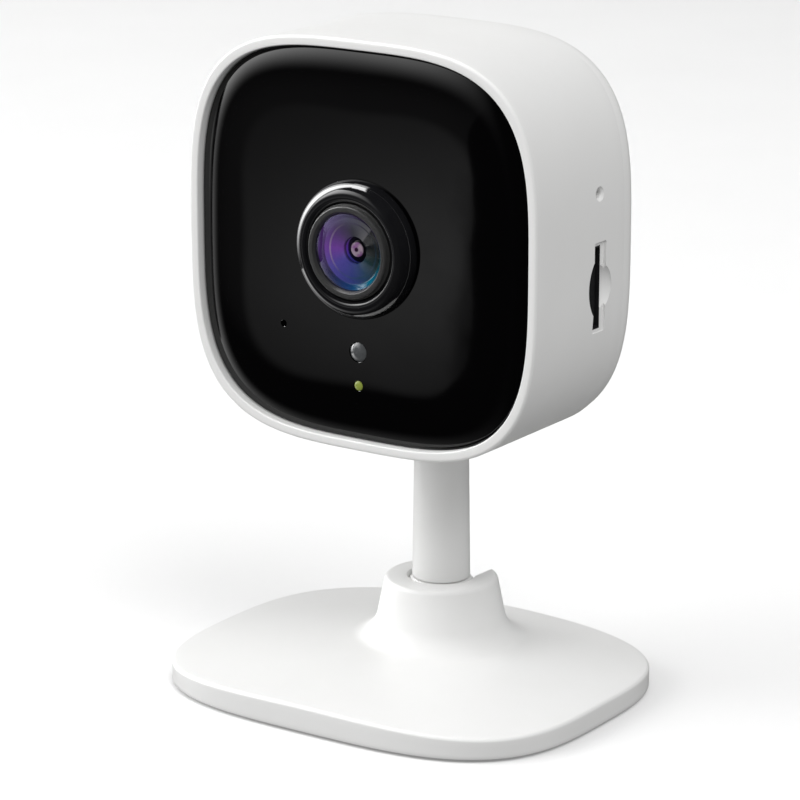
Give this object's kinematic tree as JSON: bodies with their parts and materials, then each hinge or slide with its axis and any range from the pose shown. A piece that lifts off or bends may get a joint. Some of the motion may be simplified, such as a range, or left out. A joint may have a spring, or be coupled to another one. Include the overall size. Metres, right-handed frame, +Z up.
{
  "type": "indoor security camera",
  "caption": "Indoor security camera: rounded square head with a dark glossy face and raised lens, on a round stem that turns and folds back in a ball socket on a low weighted base.",
  "frame": {"origin": "centre of the base on the table plane, at the underside of the rubber foot pad", "axes": "+Z up along the stem, -Y the way the lens looks, +X towards the side with the card slot and reset hole"},
  "size_m": [0.0676, 0.0548, 0.0989],
  "materials": {
    "white_plastic": "fine satin moulded white",
    "light_grey_plastic": "matt moulded light grey",
    "grey_rubber": "matt",
    "white_acetal": "low-friction satin",
    "spring_steel": "bright",
    "screw_steel": "zinc plated",
    "cast_zinc": "rough cast",
    "black_panel": "polished, passes infrared",
    "black_foam": "foam",
    "black_gloss": "polished",
    "black_barrel": "black anodised",
    "coated_glass": "anti-reflection coated",
    "inner_glass": "polished",
    "cyan_filter": "coated",
    "black_nylon": "matt",
    "magnet": "nickel plated",
    "copper_coil": "enamelled copper",
    "sensor_chip": "black package",
    "circuit_board": "green solder mask",
    "brass_spacer": "turned",
    "led_pack": "clear resin over white",
    "black_rubber": "matt",
    "smoked_window": "frosted",
    "green_light_pipe": "frosted",
    "tin_shield": "tin plated",
    "amber_flex": "polyimide film",
    "black_card": "matt",
    "white_button": "matt",
    "black_inlet": "satin",
    "speaker_black": "matt"
  },
  "bodies": {
    "base": {"base_shell": "white_plastic", "base_cover": "light_grey_plastic", "base_cover_screws": "screw_steel", "foot_pad": "grey_rubber", "ballast_plate": "cast_zinc", "socket_cup": "white_acetal", "socket_spring": "spring_steel"},
    "pivot": {"pivot_ball": "white_plastic", "pivot_bolt": "screw_steel", "pivot_washer": "spring_steel"},
    "head": {"front_housing": "white_plastic", "rear_cover": "white_plastic", "stem": "white_plastic", "stem_flange_screws": "screw_steel", "rear_cover_screws": "screw_steel", "spacer_screws": "screw_steel", "led_board_screws": "screw_steel", "main_board_screws": "screw_steel", "front_panel": "black_panel", "panel_gasket": "black_foam", "lens_collar": "black_gloss", "lens_barrel": "black_barrel", "lens_front_glass": "coated_glass", "lens_second_glass": "inner_glass", "lens_rear_glass": "inner_glass", "lens_spacer": "black_barrel", "aperture_stop": "black_barrel", "lens_retainer": "black_barrel", "lens_holder": "black_nylon", "filter_coil": "copper_coil", "image_sensor": "sensor_chip", "sensor_board": "circuit_board", "led_board": "circuit_board", "main_board": "circuit_board", "board_spacers": "brass_spacer", "infrared_leds": "led_pack", "light_baffle": "black_rubber", "light_sensor": "sensor_chip", "sensor_window": "smoked_window", "status_led": "led_pack", "status_light_pipe": "green_light_pipe", "microphone": "tin_shield", "microphone_boot": "black_rubber", "main_chip": "sensor_chip", "shield_can": "tin_shield", "sensor_flex": "amber_flex", "card_socket": "tin_shield", "reset_switch": "black_nylon", "power_inlet": "black_inlet", "speaker": "speaker_black", "speaker_gasket": "black_foam", "antenna": "amber_flex"},
    "filter": {"filter_frame": "black_nylon", "infrared_cut_filter": "cyan_filter", "clear_filter": "inner_glass", "filter_magnet": "magnet"},
    "card": {"memory_card": "black_card"},
    "reset": {"reset_button": "white_button"}
  },
  "joints": [
    {"name": "stem_fold", "type": "hinge", "parent": "base", "child": "pivot", "pos_m": [0, 0.0084, 0.01], "axis": [-1, 0, 0], "range_deg": [-6, 90]},
    {"name": "stem_turn", "type": "hinge", "parent": "pivot", "child": "head", "pos_m": [0, 0.0084, 0.01], "axis": [0, 0, 1], "range_deg": [-180, 180]},
    {"name": "card_slide", "type": "slide", "parent": "head", "child": "card", "axis": [1, 0, 0], "range_m": [-0.0006, 0.012]},
    {"name": "reset_press", "type": "slide", "parent": "head", "child": "reset", "axis": [-1, 0, 0], "range_m": [0, 0.0003], "stiffness_N_per_m": 400},
    {"name": "filter_slide", "type": "slide", "parent": "head", "child": "filter", "axis": [1, 0, 0], "range_m": [0, 0.0064]}
  ]
}
